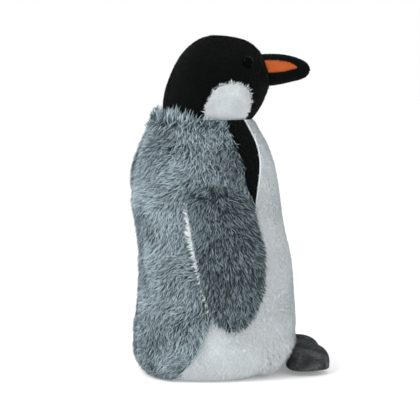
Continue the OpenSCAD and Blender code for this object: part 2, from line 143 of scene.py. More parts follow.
class PenguinStage(bpy.types.PropertyGroup):
    """Camera, floor and lights."""

    azimuth: FloatProperty(
        name="Azimuth", description="Camera's place round the penguin, where 0 is in front",
        default=math.radians(262), subtype="ANGLE",
    )
    elevation: FloatProperty(
        name="Elevation", description="Camera's angle above the floor",
        default=math.radians(6), subtype="ANGLE",
    )
    distance: FloatProperty(
        name="Distance", description="From the camera to the penguin",
        default=1.3, min=0.5, max=5.0, unit="LENGTH",
    )
    lens: FloatProperty(
        name="Lens", description="Focal length of the camera in millimetres",
        default=123.7, min=35.0, max=250.0,
    )
    aim_up: FloatProperty(
        name="Aim height", description="Height above the floor that the camera looks at",
        default=0.147, unit="LENGTH",
    )
    aim_aside: FloatProperty(
        name="Aim aside", description="How far the camera looks to the right of the body's axis",
        default=-0.0032, unit="LENGTH",
    )


# ---- Nodes ----


def set_inputs(tree, node, values):
    """Sets a node's inputs, by name or number, to constants or to other nodes' outputs."""
    for key, value in values.items():
        if isinstance(value, bpy.types.NodeSocket):
            tree.links.new(value, node.inputs[key])
        else:
            node.inputs[key].default_value = value


def add_node(tree, kind, values=None, **settings):
    """A new node with its settings and the values of its inputs."""
    made = tree.nodes.new(kind)
    for key, value in settings.items():
        setattr(made, key, value)
    set_inputs(tree, made, values or {})
    return made


def arithmetic(tree, operation, *terms):
    """The output of a Math node whose terms are numbers or other nodes' outputs."""
    return add_node(tree, "ShaderNodeMath", dict(enumerate(terms)), operation=operation).outputs[0]


def colour_ramp(tree, factor, stops):
    """The output of a ColorRamp with (place, colour) stops."""
    ramp = add_node(tree, "ShaderNodeValToRGB", {"Fac": factor})
    elements = ramp.color_ramp.elements
    while len(elements) < len(stops):
        elements.new(0.5)
    for element, (place, colour) in zip(elements, stops):
        element.position = place
        element.color = (*colour[:3], 1.0)
    return ramp.outputs["Color"]


def multiplied(tree, first, second):
    """The product of two colours."""
    values = {"Factor": 1.0, "A": first, "B": second}
    mix = add_node(tree, "ShaderNodeMix", values, data_type="RGBA", blend_type="MULTIPLY")
    return mix.outputs["Result"]


def pattern(tree, kind, **values):
    """A texture node that reads the piece's own coordinates."""
    place = add_node(tree, "ShaderNodeTexCoord").outputs["Object"]
    return add_node(tree, "ShaderNodeTex" + kind, {"Vector": place, **values})


def bumped(tree, height, strength, distance):
    """The normal of a Bump node."""
    values = {"Height": height, "Strength": strength, "Distance": distance}
    return add_node(tree, "ShaderNodeBump", values).outputs["Normal"]


def shaded(colour, share):
    return tuple(min(1.0, c * share) for c in colour)


def blended(first, second, share):
    return tuple(a + (b - a) * share for a, b in zip(first, second))


# ---- Materials ----


def new_material(name):
    """A material, its node tree and its Principled shader."""
    material = bpy.data.materials.new(name)
    material.use_nodes = True
    return material, material.node_tree, material.node_tree.nodes["Principled BSDF"]


def pile_material(name, stops, tones, sheen=0.0):
    """Pile: stops give the colour from root to tip, where a darker root is partly the pile's own
    darker base and partly painted shade deep in the pile; tones give each tuft's tone, dark to light.
    """
    material, tree, shader = new_material(name)
    place = add_node(tree, "ShaderNodeUVMap", uv_map=BAKE_MAP).outputs["UV"]
    split = add_node(tree, "ShaderNodeSeparateXYZ", {"Vector": place}).outputs
    along = colour_ramp(tree, split["Y"], stops)
    tone = colour_ramp(tree, split["X"], [(p, (t, t, t)) for p, t in tones])
    set_inputs(tree, shader, {
        "Base Color": multiplied(tree, along, tone), "Roughness": 0.8, "Sheen Weight": sheen,
        "Sheen Roughness": 0.45, "Specular IOR Level": 0.1,
    })
    return material


def cloth_material(name, colour, rib=900.0, depth=0.25, gaps=0.62):
    """Knitted backing: fine loops with painted shade in the gaps between them, and broad uneven tone.
    """
    material, tree, shader = new_material(name)
    cloud = pattern(tree, "Noise", Scale=45.0, Detail=5.0, Roughness=0.6).outputs["Fac"]
    knit = pattern(tree, "Voronoi", Scale=rib, Randomness=0.7).outputs["Distance"]
    broad = colour_ramp(tree, cloud, [(0.3, shaded(colour, 0.9)), (0.7, shaded(colour, 1.1))])
    # Painted shade: the knit is darkened to the share gaps between its loops.
    fine = colour_ramp(tree, knit, [(0.0, (1, 1, 1)), (0.8, (gaps,) * 3)])
    set_inputs(tree, shader, {
        "Base Color": multiplied(tree, broad, fine), "Roughness": 0.9, "Specular IOR Level": 0.08,
        "Normal": bumped(tree, knit, depth, 0.0006),
    })
    return material


def fibre_material(name, colour):
    """Loose polyester fibre: tangled pale strands."""
    material, tree, shader = new_material(name)
    tangle = {"Scale": 110.0, "Distortion": 14.0, "Detail": 4.0, "Detail Scale": 2.2}
    strands = pattern(tree, "Wave", **tangle).outputs["Fac"]
    set_inputs(tree, shader, {
        "Base Color": colour_ramp(tree, strands, [(0.0, shaded(colour, 0.82)), (1.0, colour)]),
        "Roughness": 0.85, "Sheen Weight": 0.4, "Normal": bumped(tree, strands, 0.5, 0.001),
    })
    return material


def plastic_material(name, colour, roughness, grain, shine=0.5):
    """Moulded plastic: faint uneven gloss, and a grain in the surface."""
    material, tree, shader = new_material(name)
    marks = pattern(tree, "Noise", Scale=grain, Detail=6.0, Roughness=0.7).outputs["Fac"]
    limits = {"Value": marks, "To Min": roughness * 0.8, "To Max": roughness * 1.3}
    gloss = add_node(tree, "ShaderNodeMapRange", limits)
    set_inputs(tree, shader, {
        "Base Color": colour_ramp(tree, marks, [(0.3, shaded(colour, 0.85)), (0.7, colour)]),
        "Roughness": gloss.outputs["Result"], "Specular IOR Level": shine,
        "Normal": bumped(tree, marks, 0.05, 0.0002),
    })
    return material


# ---- Cloth surfaces ----


def new_object(name, mesh):
    thing = bpy.data.objects.new(name, mesh)
    bpy.context.scene.collection.objects.link(thing)
    return thing


def finished_mesh(thing):
    """The object's mesh with its modifiers applied. The object is removed."""
    depsgraph = bpy.context.evaluated_depsgraph_get()
    mesh = bpy.data.meshes.new_from_object(
        thing.evaluated_get(depsgraph), preserve_all_data_layers=True, depsgraph=depsgraph
    )
    bpy.data.objects.remove(thing)
    return mesh


def smooth_patches(bm):
    """The mesh's faces in patches that no sharp edge crosses."""
    left = set(bm.faces)
    while left:
        patch, waiting = [], [left.pop()]
        while waiting:
            face = waiting.pop()
            patch.append(face)
            for edge in face.edges:
                for other in edge.link_faces:
                    if other in left and face.normal.angle(other.normal, 0.0) < SHARPEST_BEND:
                        left.remove(other)
                        waiting.append(other)
        yield patch


def rim_loops(bm):
    """The open edges of a mesh, in connected loops."""
    left = {e for e in bm.edges if e.is_boundary}
    while left:
        loop = [left.pop()]
        for edge in loop:
            for vert in edge.verts:
                for other in vert.link_edges:
                    if other in left:
                        left.remove(other)
                        loop.append(other)
        yield loop


def inner_side(node, filling):
    """The side of a cloth solid that lies on its filling, turned to face outwards, as a bmesh."""
    bm = bmesh.new()
    bm.from_mesh(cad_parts[node].data)
    bmesh.ops.remove_doubles(bm, verts=bm.verts, dist=1e-5)
    bm.normal_update()
    middle = sum(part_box(filling), Vector()) / 2

    def facing(patch):
        return sum(f.calc_area() * f.normal.dot(f.calc_center_median() - middle) for f in patch)

    patches = sorted(smooth_patches(bm), key=facing)
    side = set(patches[0])
    for patch in patches[1:]:
        area = sum(f.calc_area() for f in patch)
        reach = (patch[0].calc_center_median() - middle).length
        if len(patch) < 4 and facing(patch) < -0.3 * area * reach:
            side.update(patch)
    bmesh.ops.delete(bm, geom=list(set(bm.faces) - side), context="FACES")
    for loop in rim_loops(bm):
        if sum(e.calc_length() for e in loop) < SMALL_HOLE:
            bmesh.ops.holes_fill(bm, edges=loop, sides=0)
    bmesh.ops.reverse_faces(bm, faces=bm.faces)
    bmesh.ops.join_triangles(
        bm, faces=bm.faces, angle_face_threshold=SHARPEST_BEND,
        angle_shape_threshold=math.radians(60),
    )
    return bm


def base_surface(node, filling):
    """The cloth's inner side as a smooth mesh."""
    bm = inner_side(node, filling)
    mesh = bpy.data.meshes.new(node + "_surface")
    bm.to_mesh(mesh)
    bm.free()
    thing = new_object(node + "_surface", mesh)
    smooth = thing.modifiers.new("Smooth", "SUBSURF")
    smooth.levels = smooth.render_levels = 2
    smooth.boundary_smooth = "PRESERVE_CORNERS"
    return widened(finished_mesh(thing), SEAM_ALLOWANCE)


def widened(mesh, amount):
    """Moves a panel's edge outwards, so that it closes up to its neighbours along a seam."""
    bm = bmesh.new()
    bm.from_mesh(mesh)
    moves = {}
    for edge in bm.edges:
        if edge.is_boundary:
            loop = edge.link_loops[0]
            along = loop.link_loop_next.vert.co - loop.vert.co
            away = along.cross(loop.face.normal).normalized()
            for vert in edge.verts:
                moves[vert] = moves.get(vert, Vector()) + away
    for vert, away in moves.items():
        vert.co += away.normalized() * amount
    bm.to_mesh(mesh)
    bm.free()
    mesh.update()
    return mesh


def points_of(mesh):
    flat = np.empty(len(mesh.vertices) * 3, np.float32)
    mesh.vertices.foreach_get("co", flat)
    return flat.reshape(-1, 3).astype(float)


def normals_of(mesh):
    flat = np.empty(len(mesh.vertices) * 3, np.float32)
    mesh.vertex_normals.foreach_get("vector", flat)
    return flat.reshape(-1, 3).astype(float)


def set_points(mesh, points):
    mesh.vertices.foreach_set("co", points.astype(np.float32).ravel())
    mesh.update()


def edge_distance(mesh, reach):
    """Distance of each vertex from the panel's edge, up to a reach."""
    bm = bmesh.new()
    bm.from_mesh(mesh)
    rim = np.array([v.co for v in bm.verts if v.is_boundary], float)
    bm.free()
    points = points_of(mesh)
    far = np.full(len(points), reach)
    for start in range(0, len(points), 500):
        part = points[start:start + 500]
        gaps = np.linalg.norm(part[:, None] - rim[None], axis=2).min(1)
        far[start:start + 500] = np.minimum(gaps, reach)
    return far


def stuffed(mesh, pressure=1.2, most=0.0015, moments=14):
    """Lets the stuffing press the cloth out between its seams, by cloth simulation, capped."""
    thing = new_object("stuffed", mesh)
    still = points_of(mesh)
    pins = thing.vertex_groups.new(name="seam")
    at_seam = np.nonzero(edge_distance(mesh, 1.0) < 1e-5)[0]
    pins.add(at_seam.tolist(), 1.0, "REPLACE")
    cloth = thing.modifiers.new("Stuffing", "CLOTH")
    for key, value in (
        ("quality", 4), ("mass", 0.15), ("tension_stiffness", 12), ("compression_stiffness", 12),
        ("use_pressure", True), ("uniform_pressure_force", pressure), ("vertex_group_mass", "seam"),
    ):
        setattr(cloth.settings, key, value)
    cloth.settings.effector_weights.gravity = 0
    cloth.point_cache.frame_start, cloth.point_cache.frame_end = 1, moments
    for moment in range(1, moments + 1):
        bpy.context.scene.frame_set(moment)
    pressed = finished_mesh(thing)
    bpy.context.scene.frame_set(1)
    moved = points_of(pressed) - still
    size = np.linalg.norm(moved, axis=1, keepdims=True)
    moved *= np.minimum(1.0, most / np.maximum(size, 1e-9))
    set_points(pressed, still + moved)
    return pressed


def shell(name, base, thickness):
    """A closed cloth of a thickness at each vertex, outwards from its base surface."""
    low, rise = points_of(base), normals_of(base)
    high = low + rise * thickness[:, None]
    high[:, 2] = np.maximum(high[:, 2], low[:, 2] * SQUASHED)
    count = len(low)
    bm = bmesh.new()
    bm.from_mesh(base)
    loops = [[v.index for v in f.verts] for f in bm.faces]
    rims = [
        (e.link_loops[0].vert.index, e.link_loops[0].link_loop_next.vert.index)
        for e in bm.edges if e.is_boundary
    ]
    bm.free()
    faces = [[v + count for v in loop] for loop in loops]
    faces += [loop[::-1] for loop in loops]
    faces += [[a, b, b + count, a + count] for a, b in rims]
    mesh = bpy.data.meshes.new(name)
    mesh.from_pydata(np.vstack([low, high]).tolist(), [], faces)
    mesh.polygons.foreach_set("use_smooth", [True] * len(mesh.polygons))
    mesh.update()
    return mesh


# ---- Pile ----

# A tuft leaves its root at these slopes, across and up, and is this much thicker in the middle.
ROOT_ACROSS, ROOT_UP, SWELLING = 0.45, 0.8, 3.0
SWAY = (-0.22, 0.2)  # how far a tuft is lifted from its lie at random, in radians
TONE_LIMITS = {"Min": 0.03, "Max": 0.97}
# On the bake map: a tuft's width, where its root lies, and its length.
MAP_WIDTH, MAP_ROOT, MAP_LENGTH = 0.03, 0.03, 0.94
DRAWS = {"ruffle": 11, "sway": 23, "length": 37, "tone": 53, "turn": 71}  # added to the seed


def swirl(points, size, most):
    """A smooth random angle at each point."""
    return np.array([noise.noise(Vector(p) / size) for p in points]) * most


def turned(directions, normals, angles):
    """Directions turned about normals."""
    cos, sin = np.cos(angles)[:, None], np.sin(angles)[:, None]
    along = (directions * normals).sum(1, keepdims=True)
    return directions * cos + np.cross(normals, directions) * sin + normals * along * (1 - cos)


def swung(flow, other, share):
    """The flow brought towards another one, by a share at each point."""
    return flow * (1 - share[:, None]) + other * share[:, None]


def smoothstep(values, low, high):
    t = np.clip((values - low) / (high - low), 0, 1)
    return t * t * (3 - 2 * t)


def write_attribute(mesh, name, values):
    kind, key = ("FLOAT_VECTOR", "vector") if values.ndim == 2 else ("FLOAT", "value")
    made = mesh.attributes.new(name, kind, "POINT")
    made.data.foreach_set(key, values.astype(np.float32).ravel())


def pile_tree():
    """Geometry nodes that grow closed, curved, tapering tufts along the cloth's flow."""
    tree = bpy.data.node_groups.new("Pile", "GeometryNodeTree")
    sockets = {}
    for name, kind in (
        ("Geometry", "Geometry"), ("Density", "Float"), ("Length", "Float"), ("Width", "Float"),
        ("Rise", "Float"), ("Ruffle", "Float"), ("Uneven", "Float"), ("Mottle", "Float"),
        ("Seed", "Int"), ("Pile", "Material"),
    ):
        made = tree.interface.new_socket(name, in_out="INPUT", socket_type="NodeSocket" + kind)
        sockets[name] = made.identifier
    tree.interface.new_socket("Geometry", in_out="OUTPUT", socket_type="NodeSocketGeometry")
    given = add_node(tree, "NodeGroupInput").outputs

    def plus(first, second):
        return arithmetic(tree, "ADD", first, second)

    def minus(first, second):
        return arithmetic(tree, "SUBTRACT", first, second)

    def times(first, second):
        return arithmetic(tree, "MULTIPLY", first, second)

    def over(first, second):
        return arithmetic(tree, "DIVIDE", first, second)

    def named(name, kind="FLOAT"):
        read = add_node(tree, "GeometryNodeInputNamedAttribute", {"Name": name}, data_type=kind)
        return read.outputs["Attribute"]

    def random(draw, low, high, kind="FLOAT"):
        first, result = {"FLOAT": (2, 1), "FLOAT_VECTOR": (0, 0)}[kind]
        values = {first: low, first + 1: high, "Seed": plus(given["Seed"], DRAWS[draw])}
        return add_node(tree, "FunctionNodeRandomValue", values, data_type=kind).outputs[result]

    def position():
        place = add_node(tree, "GeometryNodeInputPosition").outputs[0]
        return add_node(tree, "ShaderNodeSeparateXYZ", {0: place}).outputs

    def vector(x, y, z):
        return add_node(tree, "ShaderNodeCombineXYZ", {"X": x, "Y": y, "Z": z}).outputs[0]

    def scaled(direction, amount):
        values = {0: direction, "Scale": amount}
        return add_node(tree, "ShaderNodeVectorMath", values, operation="SCALE").outputs[0]

    def moved(geometry, place):
        values = {"Geometry": geometry, "Position": place}
        return add_node(tree, "GeometryNodeSetPosition", values).outputs[0]

    def stored(geometry, name, value, **settings):
        values = {"Geometry": geometry, "Name": name, "Value": value}
        return add_node(tree, "GeometryNodeStoreNamedAttribute", values, **settings).outputs[0]

    # One tuft, standing up along Z and bending over towards X.
    cone = add_node(tree, "GeometryNodeMeshCone", {
        "Vertices": 3, "Side Segments": 2, "Radius Top": 0.0,
        "Radius Bottom": times(given["Width"], 0.5), "Depth": given["Length"],
    })
    place = position()
    tuft = stored(cone.outputs["Mesh"], "along", over(place["Z"], given["Length"]))
    tuft = stored(tuft, "side", times(over(place["Y"], given["Width"]), MAP_WIDTH))
    along = named("along")
    full = plus(1.0, times(times(along, minus(1.0, along)), SWELLING))

    def curve(start, end):
        """How far the tuft goes one way, from its slope at the root and its reach at the tip."""
        bend = plus(start, times(minus(end, start), along))
        return times(times(along, bend), given["Length"])

    tip_across = arithmetic(tree, "SQRT", minus(1.0, times(given["Rise"], given["Rise"])))
    tuft = moved(tuft, vector(
        plus(times(place["X"], full), curve(ROOT_ACROSS, tip_across)),
        times(place["Y"], full), curve(ROOT_UP, given["Rise"]),
    ))

    # Roots over the cloth, more of them where its cover says so.
    roots = add_node(tree, "GeometryNodeDistributePointsOnFaces", {
        "Mesh": given["Geometry"], "Density": times(given["Density"], named("cover")),
        "Seed": given["Seed"],
    }, distribute_method="RANDOM")

    # Each tuft leans along the flow, with some ruffling. Some of them lie the other way, as many
    # as the cloth's turn says.
    ruffle = scaled(random("ruffle", (-1, -1, -1), (1, 1, 1), "FLOAT_VECTOR"), given["Ruffle"])
    other_way = arithmetic(tree, "LESS_THAN", random("turn", 0.0, 1.0), named("turn"))
    turn = arithmetic(tree, "MULTIPLY_ADD", other_way, -2.0, 1.0)
    laid = {0: scaled(named("flow", "FLOAT_VECTOR"), turn), 1: ruffle}
    flow = add_node(tree, "ShaderNodeVectorMath", laid, operation="ADD").outputs[0]
    facing = add_node(
        tree, "FunctionNodeAxesToRotation",
        {"Primary Axis": roots.outputs["Normal"], "Secondary Axis": flow},
        primary_axis="Z", secondary_axis="X",
    )
    lift = plus(named("lift"), random("sway", *SWAY))
    tilt = add_node(tree, "FunctionNodeEulerToRotation", {0: vector(0.0, times(lift, -1.0), 0.0)})
    lean = add_node(
        tree, "FunctionNodeRotateRotation",
        {"Rotation": facing.outputs[0], "Rotate By": tilt.outputs[0]}, rotation_space="LOCAL",
    )
    shortest = minus(1.0, given["Uneven"])
    planted = add_node(tree, "GeometryNodeInstanceOnPoints", {
        "Points": roots.outputs["Points"], "Instance": tuft, "Rotation": lean.outputs[0],
        "Scale": times(named("reach"), random("length", shortest, 1.0)),
    })
    tone = plus(named("tone"), times(random("tone", -1.0, 1.0), given["Mottle"]))
    tone = add_node(tree, "ShaderNodeClamp", {"Value": tone, **TONE_LIMITS}).outputs[0]
    planted = stored(planted.outputs[0], "shade", tone, domain="INSTANCE")
    grown = add_node(tree, "GeometryNodeRealizeInstances", {0: planted}).outputs[0]

    # Just above the floor the tufts are pressed flatter, so that none goes through it.
    place = position()
    below = arithmetic(tree, "MINIMUM", place["Z"], PRESSED)
    squeezed = times(PRESSED, arithmetic(tree, "EXPONENT", over(minus(below, PRESSED), PRESSED)))
    height = plus(squeezed, minus(place["Z"], below))
    grown = moved(grown, vector(place["X"], place["Y"], height))

    up_the_map = plus(MAP_ROOT, times(named("along"), MAP_LENGTH))
    spot = vector(plus(named("shade"), named("side")), up_the_map, 0.0)
    grown = stored(grown, BAKE_MAP, spot, data_type="FLOAT2", domain="CORNER")
    worn = add_node(tree, "GeometryNodeSetMaterial", {"Geometry": grown, "Material": given["Pile"]})
    add_node(tree, "NodeGroupOutput", {0: worn.outputs[0]})
    return tree, sockets


def grow_pile(name, cloth, thickness, material, length, width, density, flow,
              rise=0.45, ruffle=0.35, uneven=0.35, mottle=0.3, seed=0):
    """Grows tufts on a cloth surface. flow(points, normals) returns the flow's directions, and may
    return lift, reach, tone, cover and turn at each point."""
    points, normals = points_of(cloth), normals_of(cloth)
    count = len(points)
    fields = {"lift": 0.0, "reach": 1.0, "tone": 0.5, "cover": 1.0, "turn": 0.0}
    directions, more = flow(points, normals)
    fields.update(more)
    ground = cloth.copy()
    set_points(ground, points + normals * np.reshape(thickness, (-1, 1)))
    write_attribute(ground, "flow", directions)
    for key, value in fields.items():
        write_attribute(ground, key, np.broadcast_to(value, (count,)).astype(float))
    thing = new_object(name + "_ground", ground)
    tree, sockets = TOOLS["pile"]
    modifier = thing.modifiers.new("Pile", "NODES")
    modifier.node_group = tree
    for key, value in (
        ("Density", density), ("Length", length), ("Width", width), ("Rise", rise),
        ("Ruffle", ruffle), ("Uneven", uneven), ("Mottle", mottle),
        ("Seed", seed + bpy.context.scene.penguin_pile.seed), ("Pile", material),
    ):
        modifier[sockets[key]] = value
    mesh = finished_mesh(thing)
    for attribute in ("flow", *fields, "shade", "side", "along"):
        if attribute in mesh.attributes:
            mesh.attributes.remove(mesh.attributes[attribute])
    return new_object(name, mesh)


# ---- Pieces ----

TOOLS = {}


def wear(thing, material):
    thing.data.materials.clear()
    thing.data.materials.append(material)
    return thing


def neck_z():
    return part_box("back_panel_left")[1].z


def follow(thing, body):
    """Parents a piece to its body's empty, keeping it in place; a piece on the torso_to_head joint or
    on a flipper gets no parent, its transform going into its mesh.
    """
    if body == "torso_to_head":
        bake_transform(thing)
    elif body.startswith("flipper"):
        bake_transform(thing)
    else:
        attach(thing, body)


def sewn_on(piece, node, body, slot, material, fill):
    """Dresses a padded piece that stands for a cloth of the frame."""
    wear(piece, material)
    follow(piece, body)
    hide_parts(node)


def cloth_piece(name, node, filling, body, slot, material, fill, thickness,
                pressed_out=False, hem=0.6):
    """A padded cloth panel over its filling, thinned to hem of its thickness at its seams.
    Returns its base surface and thickness."""
    base = base_surface(node, filling)
    if pressed_out:
        base = stuffed(base)
    inside = smoothstep(edge_distance(base, HEM_WIDTH), 0.0, HEM_WIDTH)
    depth = thickness * (hem + (1 - hem) * inside)
    sewn_on(new_object(name, shell(name, base, depth)), node, body, slot, material, fill)
    return base, depth


def flat_cloth(name, node, inset, body, slot, material, fill):
    """A flat padded cloth with its lower edge rounded, set in by inset. Returns its lower face."""
    bm = bmesh.new()
    bm.from_mesh(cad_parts[node].data)
    bmesh.ops.remove_doubles(bm, verts=bm.verts, dist=1e-5)
    bmesh.ops.dissolve_limit(bm, angle_limit=0.01, verts=bm.verts, edges=bm.edges)
    low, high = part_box(node)
    middle, size = (low + high) / 2, high - low
    smaller = Vector((1 - 2 * inset / size.x, 1 - 2 * inset / size.y, 1.0))
    for vert in bm.verts:
        vert.co = middle + (vert.co - middle) * smaller
    lower = [e for e in bm.edges if all(v.co.z < middle.z for v in e.verts)]
    bmesh.ops.bevel(bm, geom=lower, offset=size.z * 0.6, segments=3, profile=0.5, affect="EDGES")
    mesh = bpy.data.meshes.new(name)
    bm.to_mesh(mesh)
    bmesh.ops.delete(bm, geom=[f for f in bm.faces if f.normal.z > 0.1], context="FACES")
    face = bpy.data.meshes.new(name + "_face")
    bm.to_mesh(face)
    bm.free()
    sewn_on(new_object(name, mesh), node, body, slot, material, fill)
    return face


def pile_piece(name, body, slot, **settings):
    piece = grow_pile(name, **settings)
    follow(piece, body)


def napped_cloth(cloth_name, pile_name, node, filling, body, slot, backing, fill, thickness,
                 hem=0.6, pressed_out=False, **tufts):
    """A padded cloth panel and the pile that grows on it."""
    base, depth = cloth_piece(
        cloth_name, node, filling, body, slot, backing, fill, thickness, pressed_out, hem
    )
    pile_piece(pile_name, body, slot, cloth=base, thickness=depth, **tufts)


def towards(points, *nodes):
    """The direction from each point to the nearest vertex of the nodes, and its distance."""
    spots = np.vstack([points_of(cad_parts[node].data) for node in nodes])
    tree = KDTree(len(spots))
    for index, spot in enumerate(spots):
        tree.insert(spot, index)
    tree.balance()
    found = [tree.find(point) for point in points]
    gaps = np.array([distance for _, _, distance in found])
    away = np.array([tuple(spot) for spot, _, _ in found]) - points
    return away / np.maximum(gaps, 1e-6)[:, None], gaps


def outwards(points):
    """Each point's offset from the middle of them all, its length and its direction."""
    away = points - points.mean(0)
    size = np.linalg.norm(away, axis=1, keepdims=True)
    return away, size[:, 0], away / np.maximum(size, 1e-6)


def one_way(points, x, y, z):
    """The same direction at each point."""
    return np.tile([x, y, z], (len(points), 1))


# In the flows, distances are metres and turns are radians. Forward is -Y, and a share is 0 to 1.


def back_flow(points, normals):
    """Down the back, swept to the rear, and standing up round the collar."""
    y, z = points[:, 1], points[:, 2]
    flank, rear = smoothstep(y, -0.03, 0.035), smoothstep(y, -0.02, 0.05)
    nape, collar = smoothstep(y, 0.006, 0.044), smoothstep(z, neck_z() - 0.010, neck_z() - 0.001)
    flow = np.stack([np.zeros(len(y)), flank - 0.25, -np.ones(len(y))], 1)
    flow = turned(flow, normals, swirl(points, 0.03, 1.5))
    # Painted light: the tone is lighter towards the rear, where the key light falls, and paler in a
    # band over the lower back.
    painted_light_band = 0.14 * smoothstep(z, 0.07, 0.11) * smoothstep(z, 0.2, 0.16)
    return flow, {
        "lift": swirl(points + 0.3, 0.012, 0.45),
        "tone": 0.54 + swirl(points + 0.7, 0.022, 0.36) + 0.14 * rear + painted_light_band,
        "reach": 1 + collar * (nape - 0.25),
        "turn": collar * (0.4 + 0.5 * nape),
    }


def belly_flow(points, normals):
    """Down the front, turning outwards under the body, and over the edge of the chest's cloth."""
    flow = one_way(points, 0.0, 0.0, -1.0) + normals * [0.2, 0.2, 0]
    flow = turned(flow, normals, swirl(points, 0.05, 0.7))
    fringe = smoothstep(points[:, 2], 0.042, 0.03) * smoothstep(-points[:, 1], 0.03, 0.045)
    edge, gap = towards(points, "bib_left", "bib_right")
    near = smoothstep(gap, 0.007, 0.002)
    return swung(flow, edge + [0.0, 0.0, -0.4], near), {
        "tone": 0.32 + swirl(points + 0.4, 0.03, 0.3),
        "reach": 1 + fringe + 0.2 * near,
        "lift": 0.45 * fringe,
    }


def bib_flow(points, normals):
    """Down the chest."""
    return turned(one_way(points, 0.0, 0.0, -1.0), normals, swirl(points, 0.03, 0.8)), {}


class PENGUIN_OT_torso(bpy.types.Operator):
    """Sews and naps the back, belly, chest and base"""

    bl_idname = "penguin.torso"
    bl_label = "Torso"

    def execute(self, context):
        pile, colours = context.scene.penguin_pile, context.scene.penguin_colours
        # The grey backing takes the roots' dark colour: painted shade where it shows between the
        # tufts.
        grey_cloth = cloth_material("grey backing", shaded(colours.grey_root_with_shade, 1.4))
        white_cloth = cloth_material("white backing", colours.white, depth=0.05, gaps=0.95)
        black_cloth = cloth_material("black backing", shaded(colours.black, 0.8))
        for side, seed in (("left", 100), ("right", 200)):
            napped_cloth(
                f"back_cloth_{side}", f"back_pile_{side}", f"back_panel_{side}", "body_fill",
                "torso_to_head", "grey_pile", grey_cloth, fill=0.85, thickness=0.0015,
                pressed_out=True, material=TOOLS["grey pile"], length=pile.back_length,
                width=0.0009, density=pile.long_tufts, flow=back_flow, rise=0.55, ruffle=0.75,
                uneven=0.45, mottle=0.5, seed=seed,
            )
            napped_cloth(
                f"bib_cloth_{side}", f"bib_pile_{side}", f"bib_{side}", "body_fill",
                "torso_to_head", "black_pile", black_cloth, fill=0.85, thickness=0.001,
                material=TOOLS["black pile"], length=pile.black_length, width=0.0008,
                density=pile.short_tufts * 1.3, flow=bib_flow, seed=seed + 1,
            )
        base, depth = cloth_piece(
            "belly_cloth", "belly_panel", "body_fill", "torso_to_head", "white_pile",
            white_cloth, fill=0.85, thickness=0.0011, pressed_out=True, hem=0.15,
        )
        for side, sign in SIDES.items():
            half, kept = half_of(base, sign)
            pile_piece(
                f"belly_pile_{side}", "torso_to_head", "white_pile", cloth=half,
                thickness=depth[kept], material=TOOLS["white pile"],
                length=pile.white_length * 1.2, width=0.0009, density=pile.short_tufts * 1.1,
                flow=belly_flow, rise=0.42, uneven=0.5, mottle=0.2, seed=300 + sign,
            )
        flat_cloth("base_cloth", "base_panel", 0.0, "torso", "white_pile", white_cloth, 0.85)
        return {"FINISHED"}


def half_of(mesh, sign):
    """The faces of a mesh on one side of its middle, and the indices of the vertices it keeps."""
    faces = [list(face.vertices) for face in mesh.polygons if face.center.x * sign >= 0]
    kept = sorted({vertex for face in faces for vertex in face})
    place = {vertex: index for index, vertex in enumerate(kept)}
    half = bpy.data.meshes.new(mesh.name + "_half")
    faces = [[place[vertex] for vertex in face] for face in faces]
    half.from_pydata(points_of(mesh)[kept].tolist(), [], faces)
    half.update()
    return half, kept


def head_flow(points, normals):
    """Back from the beak, over the crown and down the nape, and in towards the eyes."""
    flow = turned(one_way(points, 0.0, 1.0, -0.7), normals, swirl(points, 0.03, 0.7))
    cover = np.ones(len(points))
    for side in SIDES:
        low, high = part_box(f"eye_{side}")
        inwards = np.array((low + high) / 2) - points
        away = np.linalg.norm(inwards, axis=1)
        cover *= smoothstep(away, 0.0054, 0.006)
        lid = smoothstep(away, 0.0095, 0.007)
        flow = swung(flow, inwards / np.maximum(away, 1e-6)[:, None], lid)
    beak_z = (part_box("beak_lower")[0].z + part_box("beak_upper")[1].z) / 2
    from_beak = np.linalg.norm(points[:, [0, 2]] - np.array([0.0, beak_z]), axis=1)
    near = smoothstep(from_beak, 0.024, 0.017) * smoothstep(-points[:, 1], 0.02, 0.03)
    flow = swung(flow, np.array([0.0, -1.0, 0.0]), near)
    tone = 0.5 + swirl(points + 0.2, 0.02, 0.4)
    return flow, {"cover": cover, "tone": tone, "reach": 1 + 0.5 * near, "lift": 0.25 * near}


def cheek_flow(points, normals):
    """Outwards from the patch's middle, so that its edge is ragged."""
    size, direction = outwards(points)[1:]
    edge = smoothstep(size, 0.008, 0.018)
    flow = swung(np.array([0.0, 0.3, -0.9]), direction, edge)
    ragged = edge * (np.abs(swirl(points, 0.002, 2.2)) - 0.6)
    return flow, {"reach": 1 + ragged, "tone": 0.55 + swirl(points, 0.015, 0.5)}


class PENGUIN_OT_head(bpy.types.Operator):
    """Sews and naps the head and its cheek patches"""

    bl_idname = "penguin.head"
    bl_label = "Head"

    def execute(self, context):
        pile, colours = context.scene.penguin_pile, context.scene.penguin_colours
        black_cloth = cloth_material("head backing", shaded(colours.black, 0.8))
        white_cloth = cloth_material("cheek backing", colours.white, depth=0.05, gaps=0.95)
        for side, seed in (("left", 400), ("right", 500)):
            napped_cloth(
                f"head_cloth_{side}", f"head_pile_{side}", f"head_side_{side}", "head_fill",
                "head", "black_pile", black_cloth, fill=0.9, thickness=0.001,
                material=TOOLS["black pile"], length=pile.black_length, width=0.0007,
                density=pile.short_tufts * 1.9, flow=head_flow, seed=seed,
            )
            napped_cloth(
                f"cheek_cloth_{side}", f"cheek_pile_{side}", f"cheek_{side}", "head_fill",
                "head", "white_pile", white_cloth, fill=0.9, thickness=0.001,
                material=TOOLS["white pile"], length=pile.white_length * 0.95, width=0.0007,
                density=pile.short_tufts * 2.5, flow=cheek_flow, rise=0.35, mottle=0.2,
                seed=seed + 1,
            )
        return {"FINISHED"}


def beak_flow(points, normals):
    """Forward to the beak's tip."""
    return one_way(points, 0.0, -1.0, 0.0), {}


